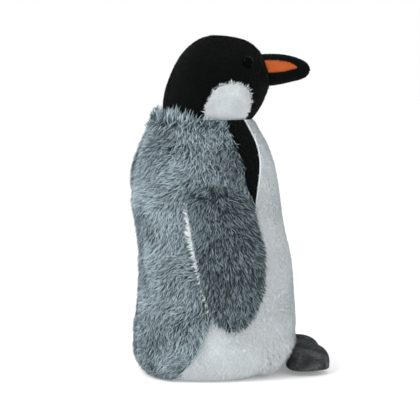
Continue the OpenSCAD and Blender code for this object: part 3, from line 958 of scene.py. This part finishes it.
class PENGUIN_OT_beak(bpy.types.Operator):
    """Sews the beak and its patches"""

    bl_idname = "penguin.beak"
    bl_label = "Beak"

    def execute(self, context):
        colours = context.scene.penguin_colours
        black = ("beak_black", colours.black, "black pile")
        orange = ("beak_orange", colours.orange, "orange nap")
        parts = {"beak_upper": black, "beak_lower": black}
        parts.update({f"beak_patch_{side}": orange for side in SIDES})
        for seed, (node, (slot, colour, nap)) in enumerate(parts.items(), 600):
            cloth = cloth_material(node + " cloth", colour, rib=1500.0, depth=0.15)
            napped_cloth(
                node + "_cloth", node + "_nap", node, "beak_fill", "head", slot, cloth,
                fill=0.9, thickness=0.0008, material=TOOLS[nap], length=0.0014, width=0.0006,
                density=1400000.0, flow=beak_flow, seed=seed,
            )
        return {"FINISHED"}


def flipper_flow(points, normals):
    """Down the flipper and out towards its edges, and some of it up at the shoulder."""
    low, high = points.min(0), points.max(0)
    down = (high[2] - points[:, 2]) / (high[2] - low[2])
    middle = (low[1] + high[1]) / 2 + 0.006 - 0.012 * down
    aside = (points[:, 1] - middle) / (high[1] - low[1])
    shoulder, rear = smoothstep(down, 0.2, 0.06), smoothstep(aside, 0.3, 0.48)
    fan = np.where(aside < 0, 2.2 * aside, (0.5 + 2.5 * shoulder) * aside) - 0.1
    flow = np.stack([np.zeros(len(down)), fan, -np.ones(len(down))], 1)
    flow = turned(flow, normals, swirl(points, 0.02, 0.8))
    tone = 0.42 + swirl(points + 0.5, 0.02, 0.4) + 0.3 * smoothstep(down, 0.12, 0.0)
    tone += 0.5 * smoothstep(aside + 0.25 * (0.5 - down), 0.22, 0.48)
    return flow, {
        "tone": tone,
        "lift": swirl(points + 0.1, 0.012, 0.4),
        "reach": 1 - 0.5 * rear * (1 - shoulder),
        "turn": 0.6 * smoothstep(down, 0.1, 0.03),
    }


def lining_flow(points, normals):
    """Out over the flipper's edge, longest along its rear."""
    away, _, flow = outwards(points)
    rear = smoothstep(away[:, 1] - 0.45 * away[:, 2], 0.008, 0.024)
    upper, top = smoothstep(away[:, 2], -0.03, 0.03), smoothstep(away[:, 2], 0.03, 0.045)
    return flow, {
        "reach": 0.7 + rear * (1.3 + 1.2 * upper),
        "tone": 0.7 + swirl(points, 0.01, 0.4),
        "cover": (1 - top) * (0.7 + 1.3 * rear),
    }


class PENGUIN_OT_flippers(bpy.types.Operator):
    """Sews, pads and naps the flippers"""

    bl_idname = "penguin.flippers"
    bl_label = "Flippers"

    def execute(self, context):
        pile, colours = context.scene.penguin_pile, context.scene.penguin_colours
        # The flipper's grey backing takes the roots' dark colour: painted shade where it shows between
        # the tufts.
        grey_cloth = cloth_material("flipper backing", shaded(colours.grey_root_with_shade, 1.2))
        white_cloth = cloth_material("lining backing", colours.white, depth=0.05, gaps=0.95)
        for side, seed in (("left", 700), ("right", 800)):
            body, wadding = f"flipper_{side}", f"flipper_wadding_{side}"
            napped_cloth(
                f"flipper_cloth_{side}", f"flipper_pile_{side}", f"flipper_outer_{side}",
                wadding, body, "flipper_pile", grey_cloth, fill=0.45, thickness=0.0012,
                material=TOOLS["flipper pile"], length=pile.flipper_length, width=0.001,
                density=pile.long_tufts * 1.2, flow=flipper_flow, rise=0.5, ruffle=0.55,
                uneven=0.4, mottle=0.85, seed=seed,
            )
            napped_cloth(
                f"lining_cloth_{side}", f"lining_pile_{side}", f"flipper_lining_{side}",
                wadding, body, "white_pile", white_cloth, fill=0.45, thickness=0.0009, hem=0.15,
                material=TOOLS["white pile"], length=pile.white_length, width=0.0008,
                density=pile.short_tufts, flow=lining_flow, rise=0.35, ruffle=0.6, uneven=0.5,
                seed=seed + 1,
            )
        return {"FINISHED"}


def foot_flow(points, normals):
    """Forward over the foot, in streaks."""
    streaks = swirl(points * [4, 1, 2], 0.012, 0.9)
    return one_way(points, 0.0, -1.0, -0.25), {"tone": 0.55 + streaks}


class PENGUIN_OT_feet(bpy.types.Operator):
    """Sews and naps the feet"""

    bl_idname = "penguin.feet"
    bl_label = "Feet"

    def execute(self, context):
        colours = context.scene.penguin_colours
        cloth = cloth_material("foot cloth", colours.charcoal)
        nap = {"material": TOOLS["foot nap"], "flow": foot_flow, "rise": 0.35}
        for side, seed in (("left", 900), ("right", 950)):
            napped_cloth(
                f"foot_cloth_{side}", f"foot_nap_{side}", f"foot_upper_{side}",
                f"foot_fill_{side}", f"foot_{side}", "foot_cloth", cloth, fill=0.9,
                thickness=0.0014, length=0.0026, width=0.0007, density=1800000.0, ruffle=0.25,
                seed=seed, **nap,
            )
            face = flat_cloth(
                f"sole_cloth_{side}", f"foot_sole_{side}", SOLE_INSET, f"foot_{side}",
                "foot_cloth", cloth, 0.9,
            )
            pile_piece(
                f"sole_nap_{side}", f"foot_{side}", "foot_cloth", cloth=face, thickness=0.0,
                length=0.0018, width=0.0008, density=1200000.0, seed=seed + 2, **nap,
            )
        return {"FINISHED"}


class PENGUIN_OT_plain_parts(bpy.types.Operator):
    """Finishes the eyes and washers, and what lies inside"""

    bl_idname = "penguin.plain_parts"
    bl_label = "Eyes and inner parts"

    def execute(self, context):
        eye = plastic_material("eye plastic", (0.0006, 0.0006, 0.0006), 0.1, 400.0, shine=0.02)
        washer = plastic_material("washer plastic", (0.75, 0.75, 0.72), 0.45, 900.0)
        fibre = fibre_material("stuffing", (0.82, 0.82, 0.80))
        pouch = cloth_material("pouch cloth", (0.6, 0.6, 0.55), rib=1200.0)
        pellets = plastic_material("pellets", (0.6, 0.62, 0.65), 0.35, 1500.0)
        worn = {"pellet_pouch": pouch, "pellet_charge": pellets}
        worn.update({"head_fill": fibre, "beak_fill": fibre})
        for side in SIDES:
            worn[f"eye_{side}"] = eye
            worn[f"eye_washer_{side}"] = washer
            worn[f"foot_fill_{side}"] = fibre
        for node, material in worn.items():
            wear(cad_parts[node], material)
        # The fillings of the torso_to_head joint and of the flippers are copied into stuffing pieces,
        # and the frame's parts hidden.
        bent = {"body_fill": "torso_to_head"}
        bent.update({f"flipper_wadding_{side}": f"flipper_{side}" for side in SIDES})
        for node, body in bent.items():
            piece = wear(new_object(node + "_stuffing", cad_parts[node].data.copy()), fibre)
            follow(piece, body)
            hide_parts(node)
        return {"FINISHED"}


# ---- Stage ----


def add_light(name, place, aim, size, power):
    data = bpy.data.lights.new(name, "AREA")
    data.shape, data.size, data.energy = "DISK", size, power
    lamp = new_object(name, data)
    lamp.location = place
    lamp.rotation_euler = (Vector(aim) - Vector(place)).to_track_quat("-Z", "Y").to_euler()


class PENGUIN_OT_stage(bpy.types.Operator):
    """Sets up the floor, the lights and the camera"""

    bl_idname = "penguin.stage"
    bl_label = "Stage"

    def execute(self, context):
        stage = context.scene.penguin_stage
        context.scene.view_settings.view_transform = "Standard"
        white = (1.0, 1.0, 1.0, 1.0)
        floor = bpy.data.meshes.new("floor")
        bm = bmesh.new()
        bmesh.ops.create_circle(bm, cap_ends=True, segments=96, radius=8.0)
        bm.to_mesh(floor)
        bm.free()
        material, tree, shader = new_material("floor")
        set_inputs(tree, shader, {
            "Base Color": (0.9, 0.9, 0.9, 1.0), "Roughness": 0.8, "Emission Color": white,
            "Emission Strength": 0.2,
        })
        wear(new_object("floor", floor), material)

        world = bpy.data.worlds.new("studio")
        context.scene.world = world
        world.use_nodes = True
        tree = world.node_tree
        seen = add_node(tree, "ShaderNodeLightPath").outputs["Is Camera Ray"]
        strength = add_node(
            tree, "ShaderNodeMapRange", {"Value": seen, "To Min": 0.95, "To Max": 1.0}
        )
        sky = {"Color": white, "Strength": strength.outputs["Result"]}
        set_inputs(tree, tree.nodes["Background"], sky)

        around, above = stage.azimuth, stage.elevation
        back = Vector((
            math.sin(around) * math.cos(above), -math.cos(around) * math.cos(above),
            math.sin(above),
        ))
        right = back.cross((0, 0, 1)).normalized() * -1
        aim = Vector((0, 0, stage.aim_up)) + right * stage.aim_aside
        up = right.cross(-back)
        middle = Vector((0, 0, 0.15))
        add_light("key", middle + back * 0.9 - right * 0.9 + up * 1.0, middle, 0.6, 17.0)
        add_light("fill", middle + back * 1.2 + right * 0.5 + up * 0.3, middle, 1.2, 3.0)

        data = bpy.data.cameras.new("camera")
        data.lens, data.sensor_width = stage.lens, 36.0
        camera = new_object("camera", data)
        camera.location = aim + back * stage.distance
        camera.rotation_euler = (-back).to_track_quat("-Z", "Y").to_euler()
        context.scene.camera = camera
        return {"FINISHED"}


class PENGUIN_PT_panel(bpy.types.Panel):
    """Lists the penguin's settings and steps"""

    bl_idname = "PENGUIN_PT_panel"
    bl_label = "Plush Penguin"
    bl_space_type = "VIEW_3D"
    bl_region_type = "UI"
    bl_category = "Penguin"

    def draw(self, context):
        for settings in (
            context.scene.penguin_pile, context.scene.penguin_colours, context.scene.penguin_stage
        ):
            box = self.layout.box()
            for key in settings.__annotations__:
                box.prop(settings, key)
        for step in STEPS:
            self.layout.operator(step.bl_idname)


STEPS = (
    PENGUIN_OT_stage, PENGUIN_OT_torso, PENGUIN_OT_head, PENGUIN_OT_beak, PENGUIN_OT_flippers,
    PENGUIN_OT_feet, PENGUIN_OT_plain_parts,
)
GROUPS = {
    "penguin_pile": PenguinPile, "penguin_colours": PenguinColours, "penguin_stage": PenguinStage
}


def register():
    for kind in (*GROUPS.values(), *STEPS, PENGUIN_PT_panel):
        bpy.utils.register_class(kind)
    for name, kind in GROUPS.items():
        setattr(bpy.types.Scene, name, PointerProperty(type=kind))


def unregister():
    for name in GROUPS:
        delattr(bpy.types.Scene, name)
    for kind in (PENGUIN_PT_panel, *STEPS[::-1], *GROUPS.values()):
        bpy.utils.unregister_class(kind)


def make_tools(scene):
    """Makes the pile's nodes and the pile materials that several pieces share."""
    colours = scene.penguin_colours
    root, grey, dark = colours.grey_root_with_shade, colours.grey, shaded(colours.grey, 0.72)
    white, black = colours.white, colours.black
    orange, charcoal = colours.orange, colours.charcoal
    tones = [(0.0, 0.22), (0.35, 0.5), (0.7, 0.95), (1.0, 1.5)]
    # Where these stops darken towards the root, that is partly the pile's own darker base and partly
    # painted shade deep in the pile.
    long_pile = [(0.0, root), (0.35, blended(root, grey, 0.3)), (0.75, blended(root, grey, 0.8))]
    flipper_pile = [
        (0.0, shaded(root, 0.8)), (0.4, blended(root, dark, 0.2)), (0.8, blended(root, dark, 0.65))
    ]
    TOOLS["pile"] = pile_tree()
    for name, stops, shades, sheen in (
        ("grey pile", long_pile + [(1.0, grey)], tones, 0.0),
        ("flipper pile", flipper_pile + [(1.0, dark)], [(p, t * 0.95) for p, t in tones], 0.0),
        ("white pile", [(0.0, white), (1.0, white)], [(0.0, 0.72), (0.5, 0.88), (1.0, 1.0)], 0.0),
        ("black pile", [(0.0, shaded(black, 0.1)), (1.0, shaded(black, 1.5))],
         [(0.0, 0.1), (0.6, 0.6), (1.0, 1.8)], 0.035),
        ("orange nap", [(0.0, shaded(orange, 0.8)), (1.0, orange)], [(0.0, 0.8), (1.0, 1.0)], 0.0),
        ("foot nap", [(0.0, shaded(charcoal, 0.5)), (1.0, shaded(charcoal, 2.2))],
         [(0.0, 0.3), (0.5, 0.7), (1.0, 1.3)], 0.0),
    ):
        TOOLS[name] = pile_material(name, stops, shades, sheen)


def main():
    register()
    make_tools(bpy.context.scene)
    for step in STEPS:
        group, name = step.bl_idname.split(".")
        getattr(getattr(bpy.ops, group), name)()


if __name__ == "__main__":
    main()
